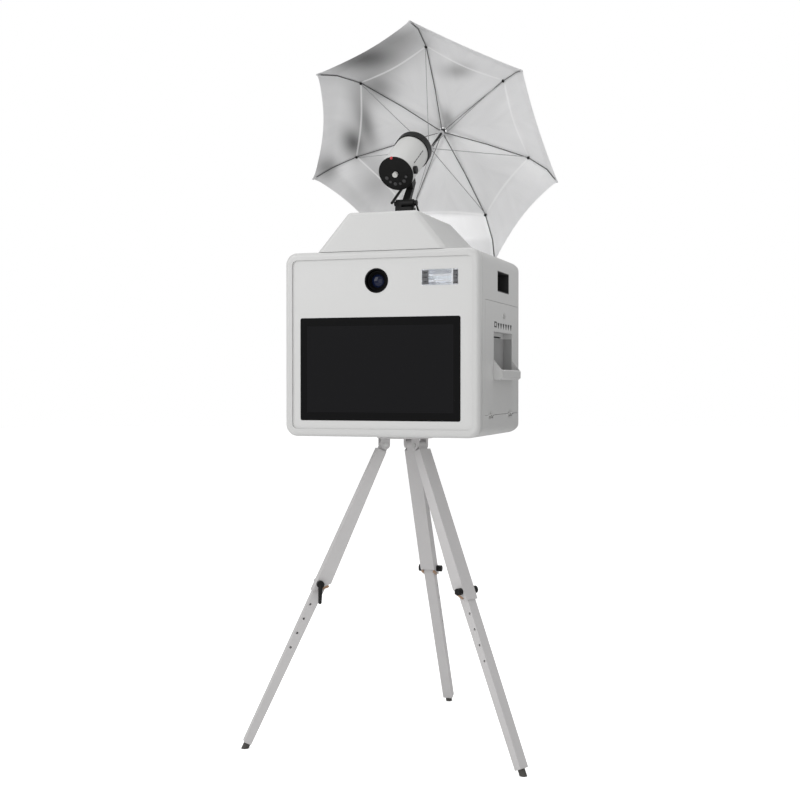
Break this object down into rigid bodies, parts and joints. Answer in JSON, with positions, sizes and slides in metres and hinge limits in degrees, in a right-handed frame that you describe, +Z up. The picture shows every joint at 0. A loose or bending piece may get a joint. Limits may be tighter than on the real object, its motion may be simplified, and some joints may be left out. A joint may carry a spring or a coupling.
{
  "type": "photo booth",
  "caption": "Touch-screen photo booth in a rounded white case on a folding tripod, with built-in camera and flash, side print outlet, and a roof strobe aimed into a silver umbrella.",
  "frame": {"origin": "on the floor, below the middle of the box round the whole object", "axes": "+X to the viewer's right, +Y to the back, +Z up; the screen looks along -Y"},
  "size_m": [0.9322, 0.8428, 2.3511],
  "materials": {
    "case_white": "satin",
    "frame_white": "satin",
    "panel_white": "satin",
    "tray_white": "satin",
    "screen_glass": "glossy",
    "lens_black": "satin",
    "camera_black": "matt",
    "flash_clear": "glossy",
    "flash_bright": "bright",
    "tube_glass": "glossy",
    "dark_plastic": "matt",
    "printer_grey": "matt",
    "sheet_steel": "satin",
    "stand_paint": "painted, satin",
    "clamp_black": "satin",
    "foot_rubber": "matt",
    "spigot_steel": "satin",
    "bracket_black": "black, satin",
    "strobe_white": "white paint, satin",
    "strobe_black": "satin",
    "dial_white": "satin",
    "lamp_glass": "frosted",
    "shaft_black": "black, satin",
    "runner_grey": "satin",
    "canopy_silver": "satin silver inside, black outside"
  },
  "bodies": {
    "booth": {"tripod_head": "stand_paint", "screws_and_pins": "sheet_steel", "front_frame": "frame_white", "front_panel": "panel_white", "body_shell": "case_white", "rear_panel": "case_white", "screen_glass": "screen_glass", "display_module": "dark_plastic", "camera_lens": "lens_black", "camera_body": "camera_black", "flash_window": "flash_clear", "flash_reflector": "flash_bright", "flash_tube": "tube_glass", "grip_cups": "dark_plastic", "printer": "printer_grey", "mini_pc": "dark_plastic", "shelf": "sheet_steel", "hood": "case_white", "strobe_spigot": "spigot_steel", "door_hinges": "sheet_steel", "power_inlet": "dark_plastic"},
    "door": {"side_door": "case_white", "catch_tray": "tray_white"},
    "lock": {"door_lock": "sheet_steel"},
    "upper_rear": {"leg_upper_rear": "stand_paint"},
    "lower_rear": {"leg_lower_rear": "stand_paint", "foot_rear": "foot_rubber"},
    "clamp_rear": {"clamp_lever_rear": "clamp_black"},
    "upper_left": {"leg_upper_left": "stand_paint"},
    "lower_left": {"leg_lower_left": "stand_paint", "foot_left": "foot_rubber"},
    "clamp_left": {"clamp_lever_left": "clamp_black"},
    "upper_right": {"leg_upper_right": "stand_paint"},
    "lower_right": {"leg_lower_right": "stand_paint", "foot_right": "foot_rubber"},
    "clamp_right": {"clamp_lever_right": "clamp_black"},
    "swivel": {"swivel_base": "bracket_black"},
    "strobe": {"tilt_arm": "bracket_black", "strobe_body": "strobe_white", "strobe_trim": "strobe_black", "strobe_lamp": "lamp_glass"},
    "tilt_handle": {"tilt_lever": "bracket_black"},
    "dial": {"power_dial": "dial_white"},
    "umbrella": {"umbrella_shaft": "shaft_black", "canopy": "canopy_silver"},
    "slider": {"runner": "runner_grey"},
    "rib_body_1": {"rib_1": "shaft_black"},
    "stretcher_body_1": {"stretcher_1": "shaft_black"},
    "rib_body_2": {"rib_2": "shaft_black"},
    "stretcher_body_2": {"stretcher_2": "shaft_black"},
    "rib_body_3": {"rib_3": "shaft_black"},
    "stretcher_body_3": {"stretcher_3": "shaft_black"},
    "rib_body_4": {"rib_4": "shaft_black"},
    "stretcher_body_4": {"stretcher_4": "shaft_black"},
    "rib_body_5": {"rib_5": "shaft_black"},
    "stretcher_body_5": {"stretcher_5": "shaft_black"},
    "rib_body_6": {"rib_6": "shaft_black"},
    "stretcher_body_6": {"stretcher_6": "shaft_black"},
    "rib_body_7": {"rib_7": "shaft_black"},
    "stretcher_body_7": {"stretcher_7": "shaft_black"}
  },
  "joints": [
    {"name": "door_hinge", "type": "hinge", "parent": "booth", "child": "door", "pos_m": [0.32089, -0.10697, 1.0655], "axis": [0, 1, 0], "range_deg": [0, 95]},
    {"name": "lock_turn", "type": "hinge", "parent": "door", "child": "lock", "pos_m": [0.31689, -0.08597, 1.38], "axis": [1, 0, 0], "range_deg": [-90, 0]},
    {"name": "fold_rear", "type": "hinge", "parent": "booth", "child": "upper_rear", "pos_m": [0.00089, -0.07297, 0.965], "axis": [-1, 0, 0], "range_deg": [0, 25]},
    {"name": "extend_rear", "type": "slide", "parent": "upper_rear", "child": "lower_rear", "axis": [0, 0.4249, -0.9052], "range_m": [-0.222, 0]},
    {"name": "clamp_turn_rear", "type": "hinge", "parent": "upper_rear", "child": "clamp_rear", "pos_m": [0.00089, 0.14106, 0.52085], "axis": [-1, 0, 0], "range_deg": [-80, 0]},
    {"name": "fold_left", "type": "hinge", "parent": "booth", "child": "upper_left", "pos_m": [-0.05973, -0.17797, 0.965], "axis": [0.5, -0.866, 0], "range_deg": [0, 25]},
    {"name": "extend_left", "type": "slide", "parent": "upper_left", "child": "lower_left", "axis": [-0.368, -0.2125, -0.9052], "range_m": [-0.222, 0]},
    {"name": "clamp_turn_left", "type": "hinge", "parent": "upper_left", "child": "clamp_left", "pos_m": [-0.24508, -0.28498, 0.52085], "axis": [0.5, -0.866, 0], "range_deg": [-80, 0]},
    {"name": "fold_right", "type": "hinge", "parent": "booth", "child": "upper_right", "pos_m": [0.06151, -0.17797, 0.965], "axis": [0.5, 0.866, 0], "range_deg": [0, 25]},
    {"name": "extend_right", "type": "slide", "parent": "upper_right", "child": "lower_right", "axis": [0.368, -0.2125, -0.9052], "range_m": [-0.222, 0]},
    {"name": "clamp_turn_right", "type": "hinge", "parent": "upper_right", "child": "clamp_right", "pos_m": [0.24686, -0.28498, 0.52085], "axis": [0.5, 0.866, 0], "range_deg": [-80, 0]},
    {"name": "strobe_pan", "type": "hinge", "parent": "booth", "child": "swivel", "pos_m": [0.00089, -0.14297, 1.73], "axis": [0, 0, 1], "range_deg": [-60, 60]},
    {"name": "strobe_tilt", "type": "hinge", "parent": "swivel", "child": "strobe", "pos_m": [0.00089, -0.14297, 1.75], "axis": [1, 0, 0], "range_deg": [-10, 30]},
    {"name": "tilt_lever_turn", "type": "hinge", "parent": "swivel", "child": "tilt_handle", "pos_m": [0.03689, -0.14297, 1.75], "axis": [1, 0, 0], "range_deg": [-60, 60]},
    {"name": "dial_turn", "type": "hinge", "parent": "strobe", "child": "dial", "pos_m": [-0.03024, -0.15559, 1.84225], "axis": [0.0573, 0.828, 0.5577], "range_deg": [-135, 135]},
    {"name": "umbrella_slide", "type": "slide", "parent": "strobe", "child": "umbrella", "axis": [0.0573, 0.828, 0.5577], "range_m": [0, 0.03]},
    {"name": "runner_slide", "type": "slide", "parent": "umbrella", "child": "slider", "axis": [-0.0573, -0.828, -0.5577], "range_m": [0, 0.0938], "deforming": ["canopy"]},
    {"name": "rib_hinge_1", "type": "hinge", "parent": "umbrella", "child": "rib_body_1", "pos_m": [0.00087, 0.28125, 2.07264], "axis": [-0.9976, 0.0252, 0.0651], "range_deg": [-10.05, 0.05]},
    {"name": "stretcher_hinge_1", "type": "hinge", "parent": "slider", "child": "stretcher_body_1", "pos_m": [-0.00744, 0.16118, 1.99177], "axis": [-0.9976, 0.0252, 0.0651], "range_deg": [-0.05, 7.13]},
    {"name": "rib_hinge_2", "type": "hinge", "parent": "umbrella", "child": "rib_body_2", "pos_m": [0.00928, 0.28335, 2.06865], "axis": [-0.5908, -0.4222, 0.6875], "range_deg": [-10.05, 0.05]},
    {"name": "stretcher_hinge_2", "type": "hinge", "parent": "slider", "child": "stretcher_body_2", "pos_m": [0.00097, 0.16329, 1.98778], "axis": [-0.5908, -0.4222, 0.6875], "range_deg": [-0.05, 7.13]},
    {"name": "rib_hinge_3", "type": "hinge", "parent": "umbrella", "child": "rib_body_3", "pos_m": [0.01103, 0.28851, 2.06081], "axis": [0.2609, -0.5517, 0.7922], "range_deg": [-10.05, 0.05]},
    {"name": "stretcher_hinge_3", "type": "hinge", "parent": "slider", "child": "stretcher_body_3", "pos_m": [0.00272, 0.16845, 1.97994], "axis": [0.2609, -0.5517, 0.7922], "range_deg": [-0.05, 7.13]},
    {"name": "rib_hinge_4", "type": "hinge", "parent": "umbrella", "child": "rib_body_4", "pos_m": [0.0048, 0.29284, 2.05503], "axis": [0.9161, -0.2657, 0.3003], "range_deg": [-10.05, 0.05]},
    {"name": "stretcher_hinge_4", "type": "hinge", "parent": "slider", "child": "stretcher_body_4", "pos_m": [-0.00351, 0.17278, 1.97415], "axis": [0.9161, -0.2657, 0.3003], "range_deg": [-0.05, 7.13]},
    {"name": "rib_hinge_5", "type": "hinge", "parent": "umbrella", "child": "rib_body_5", "pos_m": [-0.00472, 0.29308, 2.05565], "axis": [0.8815, 0.2203, -0.4177], "range_deg": [-10.05, 0.05]},
    {"name": "stretcher_hinge_5", "type": "hinge", "parent": "slider", "child": "stretcher_body_5", "pos_m": [-0.01304, 0.17302, 1.97477], "axis": [0.8815, 0.2203, -0.4177], "range_deg": [-0.05, 7.13]},
    {"name": "rib_hinge_6", "type": "hinge", "parent": "umbrella", "child": "rib_body_6", "pos_m": [-0.01036, 0.28905, 2.06221], "axis": [0.1831, 0.5405, -0.8212], "range_deg": [-10.05, 0.05]},
    {"name": "stretcher_hinge_6", "type": "hinge", "parent": "slider", "child": "stretcher_body_6", "pos_m": [-0.01868, 0.16899, 1.98134], "axis": [0.1831, 0.5405, -0.8212], "range_deg": [-0.05, 7.13]},
    {"name": "rib_hinge_7", "type": "hinge", "parent": "umbrella", "child": "rib_body_7", "pos_m": [-0.00787, 0.28379, 2.06977], "axis": [-0.6531, 0.4536, -0.6063], "range_deg": [-10.05, 0.05]},
    {"name": "stretcher_hinge_7", "type": "hinge", "parent": "slider", "child": "stretcher_body_7", "pos_m": [-0.01619, 0.16372, 1.9889], "axis": [-0.6531, 0.4536, -0.6063], "range_deg": [-0.05, 7.13]}
  ],
  "couplings": [
    {"joint": "rib_hinge_1", "follows": "runner_slide", "rad_per_m": -1.8607},
    {"joint": "stretcher_hinge_1", "follows": "runner_slide", "rad_per_m": 1.3171},
    {"joint": "rib_hinge_2", "follows": "runner_slide", "rad_per_m": -1.8607},
    {"joint": "stretcher_hinge_2", "follows": "runner_slide", "rad_per_m": 1.3171},
    {"joint": "rib_hinge_3", "follows": "runner_slide", "rad_per_m": -1.8607},
    {"joint": "stretcher_hinge_3", "follows": "runner_slide", "rad_per_m": 1.3171},
    {"joint": "rib_hinge_4", "follows": "runner_slide", "rad_per_m": -1.8607},
    {"joint": "stretcher_hinge_4", "follows": "runner_slide", "rad_per_m": 1.3171},
    {"joint": "rib_hinge_5", "follows": "runner_slide", "rad_per_m": -1.8607},
    {"joint": "stretcher_hinge_5", "follows": "runner_slide", "rad_per_m": 1.3171},
    {"joint": "rib_hinge_6", "follows": "runner_slide", "rad_per_m": -1.8607},
    {"joint": "stretcher_hinge_6", "follows": "runner_slide", "rad_per_m": 1.3171},
    {"joint": "rib_hinge_7", "follows": "runner_slide", "rad_per_m": -1.8607},
    {"joint": "stretcher_hinge_7", "follows": "runner_slide", "rad_per_m": 1.3171}
  ]
}
